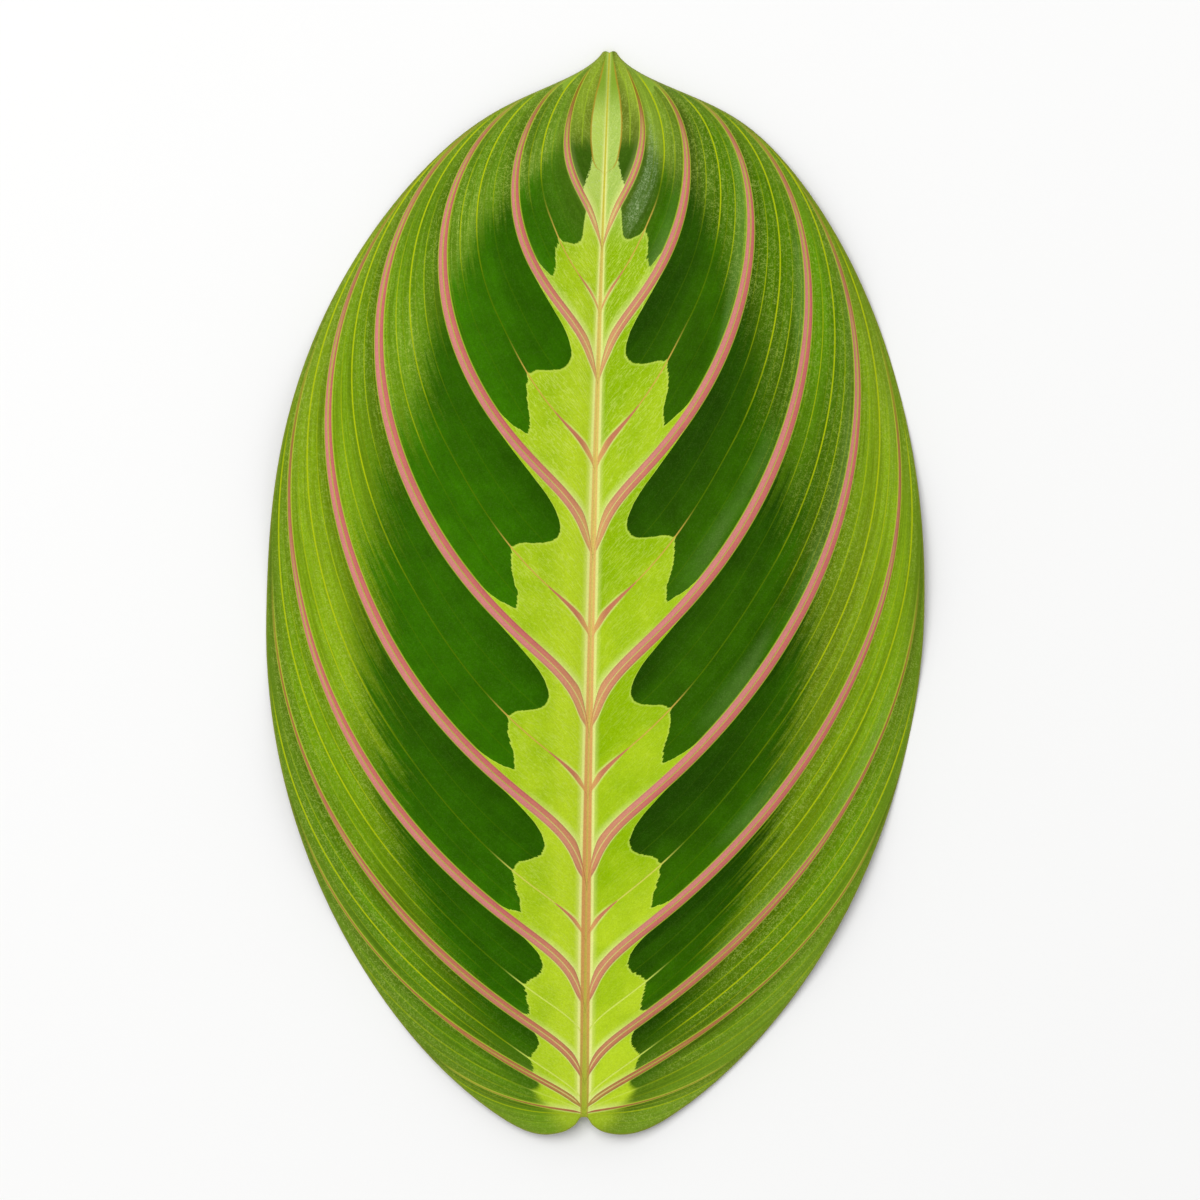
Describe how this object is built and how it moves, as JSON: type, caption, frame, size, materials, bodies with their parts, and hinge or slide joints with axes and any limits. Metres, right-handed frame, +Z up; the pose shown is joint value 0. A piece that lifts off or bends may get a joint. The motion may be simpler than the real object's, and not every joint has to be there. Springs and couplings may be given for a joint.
{
  "type": "maranta leaf",
  "caption": "Single prayer plant leaf, oval with a small pointed tip and a notched base, arched either side of its midrib, lying with its upper face up.",
  "frame": {"origin": "on the surface the leaf lies on, under the middle of its outline", "axes": "+Y from the base notch to the tip along the midrib, +X to the right seen from above, +Z up out of the upper face"},
  "size_m": [0.076, 0.125, 0.0076],
  "materials": {
    "leaf_blade": "living leaf: velvety dark and mid green with a lime centre, pink paired veins above, wine-flushed grey-green below"
  },
  "bodies": {
    "root": {"leaf": "leaf_blade"}
  },
  "joints": []
}
